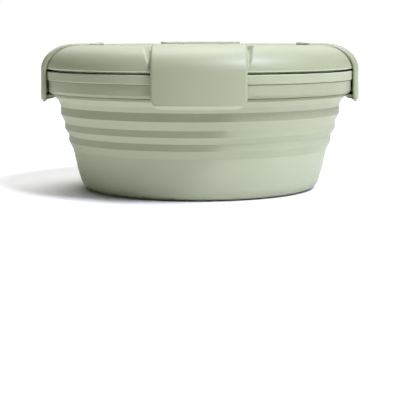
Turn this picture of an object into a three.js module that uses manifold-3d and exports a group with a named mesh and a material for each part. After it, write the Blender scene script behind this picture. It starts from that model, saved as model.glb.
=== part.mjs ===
// Collapsible lunch bowl: stepped silicone bowl, rigid rim ring, domed lid and four hinged latches.
import * as THREE from "three";
import { mergeVertices } from "three/addons/utils/BufferGeometryUtils.js";
import Module from "manifold-3d";

const wasm = await Module();
wasm.setup();

// Driving dimensions in millimetres, angles in degrees. Z is up and the bowl stands on z = 0.
const ROUND_FACETS = 48;
const ARC_STEPS = 6;
const ACROSS_STEPS = 8;

// Silicone cup at the bottom of the bowl
const CUP_TOP_RADIUS = 72.4;
const CUP_HEIGHT = 22.5;
const CUP_DRAFT = 14.5;
const CUP_FLOOR = 2.6;
const FOOT_FILLET = 6.5;

// Fold steps of the bowl, lowest first: the slope under each step and its upright wall
const SILICONE_WALL = 2.1;
const STEP_CLEARANCE = 0.35;
const STEP_OVERLAP = 2.1;
const FOLD_LIP = 0.4;
const LOWER_SLOPE = 4.5;
const LOWER_WALL = 3.8;
const MIDDLE_SLOPE = 3.5;
const MIDDLE_WALL = 3.7;
const UPPER_SLOPE = 4.7;
const UPPER_WALL = 6.3;
const STEPS = [
  { name: "bowl_step_lower", rise: LOWER_SLOPE, wall: LOWER_WALL },
  { name: "bowl_step_middle", rise: MIDDLE_SLOPE, wall: MIDDLE_WALL },
  { name: "bowl_step_upper", rise: UPPER_SLOPE, wall: UPPER_WALL },
];

// Silicone rim, which carries the rigid ring between its shelf and its flange
const COVE_REACH = 4.2;
const COVE_RISE = 2.9;
const SHELF_THICKNESS = 3.0;
const FLANGE_REACH = 6.0;
const FLANGE_THICKNESS = 4.8;
const RING_SETBACK = 1.3;
const RING_HEIGHT = 6.8;
const RING_BEVEL_WIDTH = 0.8;
const RING_BEVEL_HEIGHT = 1.5;
const SEAT_GAP = 0.3;

// Lid
const LID_EDGE_GAP = 0.8;
const LID_WALL = 2.4;
const SHOULDER_REACH = 16.0;
const SHOULDER_RISE = 14.7;
const PLUG_DEPTH = 3.2;
const PLUG_WALL = 2.2;
const PLUG_CLEARANCE = 0.3;
const SEAL_WIDTH = 2.3;
const SEAL_HEIGHT = 2.5;
const LID_LIP = 2.0;
const SEAL_RIB = 1.4;

// Latches and their hinges
const LATCH_WIDTH = 49;
const LATCH_THICKNESS = 2.5;
const LATCH_CLEARANCE = 0.35;
const LATCH_PROUD = 0.4;
const LATCH_FLARE = 0.3;
const LATCH_CORNER = 4.5;
const LATCH_BEVEL = 1.4;
const LATCH_REACH = 5.4;
const TOOTH_WIDTH = 40;
const TOOTH_UNDERCUT = 1.5;
const TOOTH_GAP = 1.6;
const TOOTH_HEIGHT = 1.2;
const TOOTH_SLOPE = 0.9;
const HINGE_INSET = 13.3;
const HINGE_DROP = 0.5;
const KNUCKLE_RADIUS = 1.9;
const KNUCKLE_LENGTH = 6;
const KNUCKLE_OFFSET = 13;
const KNUCKLE_WEB = 2.4;
const PIN_RADIUS = 0.8;
const PIN_INSET = 1.0;
const HINGE_CLEARANCE = 0.3;

// Trays sunk into the lid under the latches
const TRAY_SIDE_GAP = 0.4;
const TRAY_SIDE_SLOPE = 0.8;
const TRAY_GAP = 1.8;
const TRAY_END = 2.9;
const TRAY_END_SLOPE = 8;
const TRAY_FLAT = 4.1;

// Levels and radii that follow from the driving dimensions
const stepPitch = SILICONE_WALL + STEP_CLEARANCE;
const stepsHeight = STEPS.reduce((sum, step) => sum + step.rise + step.wall, 0);
const rimBottom = CUP_HEIGHT + stepsHeight;
const rimInner = CUP_TOP_RADIUS + STEPS.length * stepPitch + STEP_CLEARANCE;
const sleeveRadius = rimInner + SILICONE_WALL;
const FLANGE_RADIUS = sleeveRadius + FLANGE_REACH;
const RING_RADIUS = FLANGE_RADIUS - RING_SETBACK;
const shelfRadius = rimInner + FOLD_LIP + COVE_REACH;
const shelfTop = rimBottom + COVE_RISE + SHELF_THICKNESS;
const ringBottom = shelfTop + SEAT_GAP;
const ringTop = ringBottom + RING_HEIGHT;
const flangeBottom = ringTop + SEAT_GAP;
const flangeTop = flangeBottom + FLANGE_THICKNESS;
const lidRadius = FLANGE_RADIUS;
const lidEdge = flangeTop + LID_EDGE_GAP;
const lidTop = lidEdge + SHOULDER_RISE;
const shoulderRadius = lidRadius - SHOULDER_REACH;
const HINGE_RADIUS = shoulderRadius - HINGE_INSET;
const hingeHeight = lidTop - HINGE_DROP;
const latchInner = {
  reach: SHOULDER_REACH + LATCH_CLEARANCE,
  rise: SHOULDER_RISE + LATCH_PROUD - LATCH_THICKNESS,
};
const latchOuter = {
  reach: latchInner.reach + LATCH_THICKNESS,
  rise: latchInner.rise + LATCH_THICKNESS,
};
const trayHalf = LATCH_WIDTH / 2 + TRAY_SIDE_GAP;
const trayFloor = hingeHeight - KNUCKLE_RADIUS - TRAY_GAP;
const trayShoulder = {
  reach: latchInner.reach - LATCH_CLEARANCE + 0.1,
  rise: latchInner.rise - LATCH_CLEARANCE,
};

// Sides of the lid that carry a latch, as the turn about Z from the +X side
const SIDES = [
  { name: "front", turn: -Math.PI / 2 },
  { name: "right", turn: 0 },
  { name: "back", turn: Math.PI / 2 },
  { name: "left", turn: Math.PI },
];

/** Closed body of a three.js geometry, ready to be joined and cut. */
function solidOf(geometry) {
  const bare = geometry.clone();
  bare.deleteAttribute("normal");
  bare.deleteAttribute("uv");
  const welded = mergeVertices(bare, 1e-4);
  const mesh = new wasm.Mesh({
    numProp: 3,
    vertProperties: new Float32Array(welded.attributes.position.array),
    triVerts: new Uint32Array(welded.index.array),
  });
  return new wasm.Manifold(mesh);
}

/** Flat-shaded three.js geometry of a closed body. */
function geometryOf(solid) {
  const mesh = solid.getMesh();
  const geometry = new THREE.BufferGeometry();
  geometry.setAttribute("position", new THREE.BufferAttribute(new Float32Array(mesh.vertProperties), 3));
  geometry.setIndex(new THREE.BufferAttribute(new Uint32Array(mesh.triVerts), 1));
  geometry.computeVertexNormals();
  return geometry;
}

/** Body turned about the Z axis from a counter-clockwise (radius, height) outline. */
function turned(path) {
  const geometry = new THREE.LatheGeometry(path.getPoints(ARC_STEPS / 2), ROUND_FACETS);
  return solidOf(geometry.rotateX(Math.PI / 2));
}

/** Outward reach of a point that lies at a radius and is moved sideways: straight at the hinge, round at the rim. */
function outwardReach(radius, sideways) {
  const curl = THREE.MathUtils.smoothstep(radius, HINGE_RADIUS + KNUCKLE_RADIUS, shoulderRadius);
  return radius - curl * (radius - Math.sqrt(radius * radius - sideways * sideways));
}

/** Body that carries a counter-clockwise outline of {r, z, half} points across its own half widths. */
function carriedAcross(outline) {
  const count = outline.length;
  const positions = [];
  for (let station = 0; station <= ACROSS_STEPS; station += 1) {
    const share = (2 * station) / ACROSS_STEPS - 1;
    for (const point of outline) {
      const sideways = share * point.half;
      positions.push(outwardReach(point.r, sideways), sideways, point.z);
    }
  }
  const faces = [];
  for (let station = 0; station < ACROSS_STEPS; station += 1) {
    for (let i = 0; i < count; i += 1) {
      const here = station * count + i;
      const next = station * count + ((i + 1) % count);
      faces.push(here, here + count, next + count);
      faces.push(here, next + count, next);
    }
  }
  const contour = outline.map((point) => new THREE.Vector2(point.r, point.z));
  const last = ACROSS_STEPS * count;
  for (const [a, b, c] of THREE.ShapeUtils.triangulateShape(contour, [])) {
    faces.push(a, b, c);
    faces.push(last + a, last + c, last + b);
  }
  const geometry = new THREE.BufferGeometry();
  geometry.setAttribute("position", new THREE.Float32BufferAttribute(positions, 3));
  geometry.setIndex(faces);
  return geometry;
}

/** Cylinder that lies along a hinge axis, centred a given way along it. */
function hingeCylinder(radius, length, along = 0) {
  const geometry = new THREE.CylinderGeometry(radius, radius, length, 20);
  return geometry.translate(HINGE_RADIUS, along, hingeHeight);
}

/** Points of a shoulder arc round the shoulder centre, from one angle in degrees to another. */
function shoulderArc(curve, fromAngle, toAngle, half, steps = ARC_STEPS) {
  return Array.from({ length: steps + 1 }, (_, i) => {
    const angle = THREE.MathUtils.degToRad(fromAngle + ((toAngle - fromAngle) * i) / steps);
    return {
      r: shoulderRadius + curve.reach * Math.cos(angle),
      z: lidEdge + curve.rise * Math.sin(angle),
      half,
    };
  });
}

/** Cup with a flat foot, a filleted heel and a drafted wall. */
function cupBody() {
  const draft = THREE.MathUtils.degToRad(CUP_DRAFT);
  const heelTurn = Math.PI / 2 - draft;
  const tangent = FOOT_FILLET * Math.tan(heelTurn / 2);
  const heel = CUP_TOP_RADIUS - CUP_HEIGHT * Math.tan(draft);
  const footRadius = heel - tangent;
  const innerTop = CUP_TOP_RADIUS - SILICONE_WALL;
  const innerHeel = heel - SILICONE_WALL / Math.cos(draft) + CUP_FLOOR * Math.tan(draft);
  const innerFillet = FOOT_FILLET - SILICONE_WALL;
  const innerTangent = innerFillet * Math.tan(heelTurn / 2);
  const innerFoot = innerHeel - innerTangent;
  const top = CUP_HEIGHT + STEP_OVERLAP;
  const path = new THREE.Path();
  path.moveTo(0, 0);
  path.lineTo(footRadius, 0);
  path.absarc(footRadius, FOOT_FILLET, FOOT_FILLET, -Math.PI / 2, -draft, false);
  path.lineTo(CUP_TOP_RADIUS, CUP_HEIGHT);
  path.lineTo(CUP_TOP_RADIUS, top);
  path.lineTo(innerTop, top);
  path.lineTo(innerTop, CUP_HEIGHT);
  path.absarc(innerFoot, CUP_FLOOR + innerFillet, innerFillet, -draft, -Math.PI / 2, true);
  path.lineTo(0, CUP_FLOOR);
  return turned(path);
}

/** One fold step: an upright wall over a slope that tapers to a thin lip. */
function stepBody(index) {
  const below = STEPS.slice(0, index).reduce((sum, step) => sum + step.rise + step.wall, CUP_HEIGHT);
  const outer = CUP_TOP_RADIUS + (index + 1) * stepPitch;
  const inner = outer - SILICONE_WALL;
  const wallBottom = below + STEPS[index].rise;
  const top = wallBottom + STEPS[index].wall + STEP_OVERLAP;
  const path = new THREE.Path();
  path.moveTo(inner, below);
  path.lineTo(inner + FOLD_LIP, below);
  path.lineTo(outer, wallBottom);
  path.lineTo(outer, top);
  path.lineTo(inner, top);
  path.lineTo(inner, below);
  return turned(path);
}

/** Silicone rim: cove, shelf, sleeve inside the rigid ring and flange over it. */
function rimBody() {
  const path = new THREE.Path();
  path.moveTo(rimInner, rimBottom);
  path.lineTo(rimInner + FOLD_LIP, rimBottom);
  path.absellipse(shelfRadius, rimBottom, COVE_REACH, COVE_RISE, Math.PI, Math.PI / 2, true);
  path.lineTo(shelfRadius, shelfTop);
  path.lineTo(sleeveRadius, shelfTop);
  path.lineTo(sleeveRadius, flangeBottom);
  path.lineTo(FLANGE_RADIUS, flangeBottom);
  path.lineTo(FLANGE_RADIUS, flangeTop);
  path.lineTo(rimInner, flangeTop);
  path.lineTo(rimInner, rimBottom);
  return turned(path);
}

/** Rigid ring that the latches hook under, bevelled where the teeth swing past. */
function ringBody() {
  const inner = sleeveRadius + SEAT_GAP;
  const path = new THREE.Path();
  path.moveTo(inner, ringBottom);
  path.lineTo(RING_RADIUS - RING_BEVEL_WIDTH, ringBottom);
  path.lineTo(RING_RADIUS, ringBottom + RING_BEVEL_HEIGHT);
  path.lineTo(RING_RADIUS, ringTop);
  path.lineTo(inner, ringTop);
  path.lineTo(inner, ringBottom);
  return turned(path);
}

/** Soft ring in the groove under the lid, which bears on the flange. */
function sealBody() {
  const outer = lidRadius - LID_LIP - SEAT_GAP;
  const inner = outer - SEAL_WIDTH;
  const bottom = flangeTop + SEAT_GAP;
  const path = new THREE.Path();
  path.moveTo(inner, bottom);
  path.lineTo(outer, bottom);
  path.lineTo(outer, bottom + SEAL_HEIGHT);
  path.lineTo(inner, bottom + SEAL_HEIGHT);
  path.lineTo(inner, bottom);
  return turned(path);
}

/** Line of a tray floor from its inboard end over the shoulder, moved along its normals. */
function trayLine(offset, half, endAngle) {
  const flatEnd = HINGE_RADIUS + TRAY_FLAT;
  const endRadius = HINGE_RADIUS - TRAY_END;
  const rampEnd = (flatEnd + shoulderRadius) / 2;
  const moved = { reach: trayShoulder.reach + offset, rise: trayShoulder.rise + offset };
  return [
    { r: endRadius - TRAY_END_SLOPE + Math.min(offset, 0), z: lidTop + offset, half },
    { r: endRadius + Math.min(offset, 0) / 3, z: trayFloor + offset, half },
    { r: flatEnd, z: trayFloor + offset, half },
    { r: rampEnd, z: lidEdge + trayShoulder.rise + offset, half },
    ...shoulderArc(moved, 90, endAngle, half),
  ];
}

/** Space that a tray takes out of the lid, wider towards its open side. */
function trayCutter() {
  const height = 6;
  const floor = trayLine(0, trayHalf, 0);
  const open = trayLine(height, trayHalf + TRAY_SIDE_SLOPE * height, 0);
  return carriedAcross([...floor, ...open.reverse()]);
}

/** Wall that closes the lid under a tray. */
function trayPan() {
  const half = trayHalf + TRAY_SIDE_SLOPE * (lidTop - trayFloor) + LID_WALL;
  const under = trayLine(-LID_WALL, half, 25);
  const over = trayLine(LID_WALL, half, 25);
  return carriedAcross([...under, ...over.reverse()]);
}

/** Lid knuckle: a rounded lug that stands on the tray floor round the hinge axis. */
function lidKnuckle(along) {
  const shape = new THREE.Shape();
  const web = KNUCKLE_WEB / 2;
  const spring = -Math.sqrt(KNUCKLE_RADIUS * KNUCKLE_RADIUS - web * web);
  const foot = trayFloor - hingeHeight - LID_WALL / 2;
  const springAngle = Math.atan2(spring, web);
  shape.moveTo(-web, foot);
  shape.lineTo(web, foot);
  shape.lineTo(web, spring);
  shape.absarc(0, 0, KNUCKLE_RADIUS, springAngle, Math.PI - springAngle, false);
  shape.lineTo(-web, foot);
  const settings = { depth: KNUCKLE_LENGTH, bevelEnabled: false, curveSegments: 2 * ARC_STEPS };
  const lug = new THREE.ExtrudeGeometry(shape, settings);
  lug.rotateX(Math.PI / 2);
  return lug.translate(HINGE_RADIUS, along + KNUCKLE_LENGTH / 2, hingeHeight);
}

/** Lid shell with plug, seal groove, latch trays and hinge knuckles. */
function lidBody() {
  const plugOuter = rimInner - PLUG_CLEARANCE;
  const plugInner = plugOuter - PLUG_WALL;
  const ceiling = lidTop - LID_WALL;
  const bearing = flangeTop + SEAT_GAP;
  const grooveOuter = lidRadius - LID_LIP;
  const grooveInner = grooveOuter - SEAL_WIDTH - 2 * SEAT_GAP;
  const grooveTop = bearing + SEAL_HEIGHT + SEAT_GAP;
  const channelOuter = grooveInner - SEAL_RIB;
  const inside = { reach: SHOULDER_REACH - LID_WALL, rise: SHOULDER_RISE - LID_WALL };
  const channelTop = lidEdge + inside.rise * Math.sqrt(1 - ((channelOuter - shoulderRadius) / inside.reach) ** 2);
  const path = new THREE.Path();
  path.moveTo(0, ceiling);
  path.lineTo(plugInner - LID_WALL, ceiling);
  path.lineTo(plugInner, ceiling - LID_WALL);
  path.lineTo(plugInner, flangeTop - PLUG_DEPTH);
  path.lineTo(plugOuter, flangeTop - PLUG_DEPTH);
  path.lineTo(plugOuter, channelTop);
  path.lineTo(channelOuter, channelTop);
  path.lineTo(channelOuter, bearing);
  path.lineTo(grooveInner, bearing);
  path.lineTo(grooveInner, grooveTop);
  path.lineTo(grooveOuter, grooveTop);
  path.lineTo(grooveOuter, lidEdge);
  path.lineTo(lidRadius, lidEdge);
  path.absellipse(shoulderRadius, lidEdge, SHOULDER_REACH, SHOULDER_RISE, 0, Math.PI / 2, false);
  path.lineTo(0, lidTop);
  const dome = new THREE.Path();
  dome.moveTo(0, lidEdge);
  dome.lineTo(lidRadius, lidEdge);
  dome.absellipse(shoulderRadius, lidEdge, SHOULDER_REACH, SHOULDER_RISE, 0, Math.PI / 2, false);
  dome.lineTo(0, lidTop);
  const envelope = turned(dome);
  let lid = turned(path);
  for (const side of SIDES) {
    const pan = solidOf(trayPan().rotateZ(side.turn));
    lid = lid.add(pan.intersect(envelope));
  }
  for (const side of SIDES) {
    lid = lid.subtract(solidOf(trayCutter().rotateZ(side.turn)));
    for (const along of [-KNUCKLE_OFFSET, KNUCKLE_OFFSET]) {
      lid = lid.add(solidOf(lidKnuckle(along).rotateZ(side.turn)));
    }
    const bore = hingeCylinder(PIN_RADIUS + HINGE_CLEARANCE, LATCH_WIDTH - 2);
    lid = lid.subtract(solidOf(bore.rotateZ(side.turn)));
  }
  return lid;
}

/** Outline of a latch from the hinge over the shoulder to its bevelled lower end. */
function latchOutline() {
  const half = LATCH_WIDTH / 2;
  const innerRadius = shoulderRadius + latchInner.reach;
  const outerRadius = shoulderRadius + latchOuter.reach + LATCH_FLARE;
  const tip = ringBottom - LATCH_REACH;
  const outerEnd = tip + LATCH_BEVEL;
  const corner = (height) => {
    const into = Math.max(0, 1 - (height - tip) / LATCH_CORNER);
    return half - LATCH_CORNER * (1 - Math.sqrt(1 - into * into));
  };
  const heights = [1, 0.5, 0.2, 0].map((share) => tip + LATCH_CORNER * share);
  const inner = heights.map((z) => ({ r: innerRadius + LATCH_FLARE, z, half: corner(z) }));
  const outer = heights.map((z) => {
    const lifted = outerEnd + ((z - tip) * (tip + LATCH_CORNER - outerEnd)) / LATCH_CORNER;
    return { r: outerRadius, z: lifted, half: corner(z) };
  });
  return [
    { r: HINGE_RADIUS, z: lidEdge + latchInner.rise, half },
    ...shoulderArc(latchInner, 90, 0, half),
    ...inner,
    ...outer.reverse(),
    ...shoulderArc(latchOuter, 0, 90, half),
    { r: HINGE_RADIUS, z: lidEdge + latchOuter.rise, half },
  ];
}

/** Latch with its hinge barrel, slots for the lid knuckles, pin bore and hook tooth. */
function latchBody() {
  const slotLength = KNUCKLE_LENGTH + 2 * HINGE_CLEARANCE;
  const tipRadius = RING_RADIUS - TOOTH_UNDERCUT;
  const rootRadius = shoulderRadius + latchInner.reach + LATCH_THICKNESS / 2;
  const tipTop = ringBottom - TOOTH_GAP;
  const half = TOOTH_WIDTH / 2;
  const tooth = carriedAcross([
    { r: tipRadius, z: tipTop - TOOTH_HEIGHT, half },
    { r: rootRadius, z: tipTop - TOOTH_HEIGHT - TOOTH_SLOPE, half },
    { r: rootRadius, z: tipTop + TOOTH_SLOPE, half },
    { r: tipRadius, z: tipTop, half },
  ]);
  let latch = solidOf(carriedAcross(latchOutline()));
  latch = latch.add(solidOf(hingeCylinder(KNUCKLE_RADIUS, LATCH_WIDTH)));
  latch = latch.add(solidOf(tooth));
  for (const along of [-KNUCKLE_OFFSET, KNUCKLE_OFFSET]) {
    latch = latch.subtract(solidOf(hingeCylinder(KNUCKLE_RADIUS + HINGE_CLEARANCE, slotLength, along)));
  }
  return latch.subtract(solidOf(hingeCylinder(PIN_RADIUS + HINGE_CLEARANCE, LATCH_WIDTH + 2)));
}

/** Named mesh with its own finish. */
function piece(name, geometry, finish) {
  const mesh = new THREE.Mesh(geometry, new THREE.MeshStandardMaterial(finish));
  mesh.name = name;
  return mesh;
}

const SILICONE = { color: 0xb4bda4, roughness: 0.72, metalness: 0 };
const RIGID = { color: 0xb6bca0, roughness: 0.5, metalness: 0 };
const STEEL = { color: 0xb9bcbe, roughness: 0.32, metalness: 1 };

const bowl = new THREE.Group();
bowl.name = "collapsible_lunch_bowl";
bowl.add(piece("bowl_base", geometryOf(cupBody()), SILICONE));
STEPS.forEach((step, index) => bowl.add(piece(step.name, geometryOf(stepBody(index)), SILICONE)));
bowl.add(piece("bowl_rim", geometryOf(rimBody()), SILICONE));
bowl.add(piece("rim_ring", geometryOf(ringBody()), RIGID));
bowl.add(piece("lid_seal", geometryOf(sealBody()), SILICONE));
bowl.add(piece("lid", geometryOf(lidBody()), RIGID));

for (const side of SIDES) {
  const corner = new THREE.Group();
  corner.name = `corner_${side.name}`;
  corner.rotation.z = side.turn;
  corner.add(piece(`latch_${side.name}`, geometryOf(latchBody()), RIGID));
  const pin = hingeCylinder(PIN_RADIUS, LATCH_WIDTH - 2 * PIN_INSET);
  corner.add(piece(`hinge_pin_${side.name}`, pin, STEEL));
  bowl.add(corner);
}

export default bowl;
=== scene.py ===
"""Looks of a collapsible lunch bowl: folding silicone bowl, rigid ring, domed lid and four hinged latches.

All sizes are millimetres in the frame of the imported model, with Z up along the axis of the bowl, the front
latch at -Y and the right latch at +X. Meshes are written in metres, and the studio is laid out in metres.
"""

from __future__ import annotations

import logging
import math
from dataclasses import dataclass, replace
from enum import Enum

import bmesh
import bpy
import numpy as np
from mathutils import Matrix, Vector

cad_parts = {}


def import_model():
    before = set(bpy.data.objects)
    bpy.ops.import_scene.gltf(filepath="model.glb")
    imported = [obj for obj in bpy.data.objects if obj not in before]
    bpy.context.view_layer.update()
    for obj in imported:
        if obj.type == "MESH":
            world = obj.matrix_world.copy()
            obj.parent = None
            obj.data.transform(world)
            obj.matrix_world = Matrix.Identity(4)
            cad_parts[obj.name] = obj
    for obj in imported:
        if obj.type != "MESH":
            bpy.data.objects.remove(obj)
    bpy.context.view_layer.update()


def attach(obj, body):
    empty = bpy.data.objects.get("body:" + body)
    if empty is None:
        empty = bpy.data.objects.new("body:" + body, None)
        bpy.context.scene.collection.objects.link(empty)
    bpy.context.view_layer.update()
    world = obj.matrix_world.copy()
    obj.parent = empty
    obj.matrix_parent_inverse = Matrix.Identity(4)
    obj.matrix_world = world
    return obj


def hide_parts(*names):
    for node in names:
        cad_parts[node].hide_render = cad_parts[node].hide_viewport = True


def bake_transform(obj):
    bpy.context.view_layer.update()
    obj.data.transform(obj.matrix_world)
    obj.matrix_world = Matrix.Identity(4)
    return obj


Array = np.ndarray
Pair = tuple[float, float]
Triple = tuple[float, float, float]
Colour = tuple[float, float, float]
Shell = tuple[Array, Array]
Piece = bpy.types.Object
Socket = bpy.types.NodeSocket

MM = 0.001
log = logging.getLogger("lunch_bowl")

# Points nearer to each other than this many metres are welded
WELD = 2e-6
# Angle in degrees past which an edge shows as a crisp line
CREASE = 38.0
# Spans up to the first of these count as nothing, and no divisor is smaller than the second
SHORTEST = 1e-6
TINY = 1e-9
# Corners this near to a straight line, as half an angle in radians, aren't rounded
STRAIGHT = 1e-4
# Longest part of a side that the rounding of a corner takes up
ROUNDED_SHARE = 0.48
# Distances along a line that agree to this many digits are one point
SAME_DIGITS = 4
# Hinge axis of the +X latch as (radius, height), and the reach and rise of the rounded bars along it
HINGE = (58.9, 82.1)
KNUCKLE = (1.9, 1.15)
# Radii between which the trays and the latches go from straight to round, the second where the dome bends
CURL_START = 60.8
SHOULDER = 72.2
# Outward part of a normal past which a face is on the outside, and upward part below which it looks down;
# they pick the faces that get the painted highlight
OUTSIDE = 0.3
UNDERSIDE = -0.25


class Side(Enum):
    """A side of the lid that carries a latch, as its turn about Z from the +X side in degrees."""

    FRONT = -90
    RIGHT = 0
    BACK = 90
    LEFT = 180

    @property
    def word(self) -> str:
        """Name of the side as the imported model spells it."""
        return self.name.lower()

    def spun(self, shell: Shell) -> Shell:
        """Turn a shell about Z, with the sine and the cosine rounded so that quarter turns are exact.

        Args:
            shell: Points and faces on the +X side.

        Returns:
            The same shell on this side.
        """
        turn = math.radians(self.value)
        c, s = round(math.cos(turn), 12), round(math.sin(turn), 12)
        return shell[0] @ np.array([[c, s, 0.0], [-s, c, 0.0], [0.0, 0.0, 1.0]]), shell[1]


class Slot(Enum):
    """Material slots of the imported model."""

    SILICONE = "silicone"
    RIGID = "rigid_plastic"
    STEEL = "pin_steel"


# Shapes


def smooth(value: Array, low: float, high: float) -> Array:
    """Rise from 0 at low to 1 at high along the cubic 3t^2 - 2t^3, flat at both ends."""
    t = np.clip((np.asarray(value, float) - low) / (high - low), 0.0, 1.0)
    return t * t * (3.0 - 2.0 * t)


def full_turn(steps: int) -> Array:
    """Column of even angles once round, in radians."""
    return np.linspace(0.0, 2.0 * math.pi, steps, endpoint=False)[:, None]


def grid_faces(rows: int, columns: int, wrap_rows: bool = False, wrap_columns: bool = False) -> Array:
    """Quads between neighbouring points of a rows by columns grid, closed round either way if asked.

    Args:
        rows: Number of grid rows.
        columns: Number of points in a row.
        wrap_rows: Join the last row to the first.
        wrap_columns: Join the last column to the first.

    Returns:
        Array of four point numbers for each face.
    """
    i, j = np.meshgrid(
        np.arange(rows - (not wrap_rows)), np.arange(columns - (not wrap_columns)), indexing="ij"
    )
    down, across = (i + 1) % rows, (j + 1) % columns
    quads = [i * columns + j, i * columns + across, down * columns + across, down * columns + j]
    return np.stack(quads, axis=-1).reshape(-1, 4)


def gridded(points: Array, wrap_rows: bool = False, wrap_columns: bool = False) -> Shell:
    """Shell of a (rows, columns, 3) grid of points, closed round either way if asked."""
    return points.reshape(-1, 3), grid_faces(*points.shape[:2], wrap_rows, wrap_columns)


def raised(plan: Array, height: Array | float) -> Array:
    """Points of a (rows, columns, 2) plan at one height, or at a height for each row, column or point."""
    return np.concatenate([plan, np.broadcast_to(height, plan.shape[:2])[..., None]], axis=-1)


def softened(corners: list[Triple], closed: bool = True, steps: int = 6) -> Array:
    """Outline whose corners are rounded by arcs tangent to both sides.

    Each corner is (radius, height, rounding). The arc starts and ends rounding / tan(half the corner angle)
    from the corner, or less where a side is too short for it. Its point at share t of its turn w lies off
    its centre by the offset of its start times sin((1 - t) w) / sin w plus that of its end times
    sin(t w) / sin w.

    Args:
        corners: Corner points with their roundings.
        closed: The outline returns to its first corner; otherwise its two ends stay sharp.
        steps: Spans of each arc.

    Returns:
        Array of (radius, height) points.
    """
    table = np.array(corners, float)
    point, rounding = table[:, :2], table[:, 2].copy()
    if not closed:
        rounding[[0, -1]] = 0.0
    back, ahead = np.roll(point, 1, axis=0) - point, np.roll(point, -1, axis=0) - point
    long_back, long_ahead = np.linalg.norm(back, axis=1), np.linalg.norm(ahead, axis=1)
    a, b = back / long_back[:, None], ahead / long_ahead[:, None]
    half = np.arccos(np.clip((a * b).sum(axis=1), -1.0, 1.0)) / 2.0
    room = ROUNDED_SHARE * np.minimum(long_back, long_ahead)
    reach = np.minimum(rounding / np.maximum(np.tan(half), TINY), room)
    reach = np.where(np.abs(half - math.pi / 2) < STRAIGHT, 0.0, reach)
    bisector = a + b
    size = np.maximum(np.linalg.norm(bisector, axis=1), TINY)
    centre = point + bisector / size[:, None] * (reach / np.maximum(np.cos(half), TINY))[:, None]
    first, last = point + a * reach[:, None] - centre, point + b * reach[:, None] - centre
    turn = (math.pi - 2.0 * half)[:, None, None]
    share = np.linspace(0.0, 1.0, steps + 1)[None, :, None]
    sweep = np.maximum(np.sin(turn), TINY)
    curve = (np.sin((1.0 - share) * turn) * first[:, None] + np.sin(share * turn) * last[:, None]) / sweep
    outline = np.where((reach > SHORTEST)[:, None, None], centre[:, None] + curve, point[:, None])
    outline = outline.reshape(-1, 2)
    step = np.linalg.norm(np.diff(outline, axis=0), axis=1)
    return outline[np.concatenate([[True], step > SHORTEST])]


def lengths(line: Array) -> Array:
    """Distance of each point of a line from its start, measured along the line."""
    return np.concatenate([[0.0], np.cumsum(np.linalg.norm(np.diff(line, axis=0), axis=1))])


def picked(line: Array, at: Array) -> Array:
    """Points at the given distances along a line."""
    return np.stack([np.interp(at, lengths(line), line[:, k]) for k in range(line.shape[1])], axis=1)


def spread(line: Array, count: int) -> Array:
    """The same line as count points at even distances along it."""
    return picked(line, np.linspace(0.0, lengths(line)[-1], count))


def denser(line: Array, longest: float) -> Array:
    """The same line with points added until no span is longer than asked.

    Args:
        line: Points of the line.
        longest: Longest span.

    Returns:
        The old points and the new ones in order.
    """
    along = lengths(line)
    at = np.unique(np.round(np.concatenate([along, np.arange(0.0, along[-1], longest)]), SAME_DIGITS))
    at[-1] = along[-1]
    return picked(line, at)


def turned(outline: Array, closed: bool = True, steps: int = 240) -> Shell:
    """Body turned about Z: a point (r, z) becomes (r cos a, r sin a, z) at each of steps even angles a.

    Args:
        outline: (radius, height) points, a loop or a line with both ends on the axis.
        closed: The outline is a loop.
        steps: Number of angles in the full turn.

    Returns:
        Points and faces.
    """
    angle, r = full_turn(steps), outline[:, 0]
    plan = np.stack([r * np.cos(angle), r * np.sin(angle)], axis=-1)
    return gridded(raised(plan, outline[:, 1]), True, closed)


def arc(centre: Pair, reach: float, rise: float, start: float, end: float, count: int) -> Array:
    """Points (centre r + reach cos a, centre z + rise sin a) for count angles a from start to end degrees."""
    a = np.radians(np.linspace(start, end, count))
    return np.stack([centre[0] + reach * np.cos(a), centre[1] + rise * np.sin(a)], axis=1)


@dataclass
class Shape:
    """Points and faces of one piece, which may be joined from several closed shells."""

    points: Array
    faces: Array

    @staticmethod
    def joined(shells: list[Shell]) -> Shape:
        """One shape from several shells.

        Args:
            shells: Points and faces of each shell.

        Returns:
            Shape with all the points, and all the faces numbered to suit.
        """
        starts = np.cumsum([0] + [len(points) for points, _ in shells[:-1]])
        faces = [shell[1] + start for shell, start in zip(shells, starts)]
        return Shape(np.concatenate([shell[0] for shell in shells]), np.concatenate(faces))

    def piece(self, name: str, finish: Finish) -> Piece:
        """Mesh object of the shape, welded at seams and poles, with faces outwards.

        Args:
            name: Name of the piece.
            finish: Finish of the piece.

        Returns:
            The object, linked into the scene at the origin.
        """
        mesh = bpy.data.meshes.new(name)
        mesh.from_pydata((self.points * MM).tolist(), [], self.faces.tolist())
        work = bmesh.new()
        work.from_mesh(mesh)
        bmesh.ops.remove_doubles(work, verts=work.verts, dist=WELD)
        bmesh.ops.dissolve_degenerate(work, edges=work.edges, dist=WELD)
        bmesh.ops.recalc_face_normals(work, faces=work.faces)
        work.to_mesh(mesh)
        work.free()
        mesh.polygons.foreach_set("use_smooth", np.ones(len(mesh.polygons), bool))
        mesh.set_sharp_from_angle(angle=math.radians(CREASE))
        mesh.materials.append(finish.material())
        made = bpy.data.objects.new(name, mesh)
        bpy.context.scene.collection.objects.link(made)
        return made


# Finishes


def linear(red: float, green: float, blue: float) -> Colour:
    """Linear colour of display values.

    A value v, as a part of 255, becomes v / 12.92 on the toe and ((v + 0.055) / 1.055)^2.4 above it.

    Args:
        red: Red from 0 to 255.
        green: Green from 0 to 255.
        blue: Blue from 0 to 255.

    Returns:
        Red, green and blue from 0 to 1.
    """
    share = np.array([red, green, blue]) / 255.0
    light = np.where(share <= 0.04045, share / 12.92, ((share + 0.055) / 1.055) ** 2.4)
    return tuple(float(v) for v in light)


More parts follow.
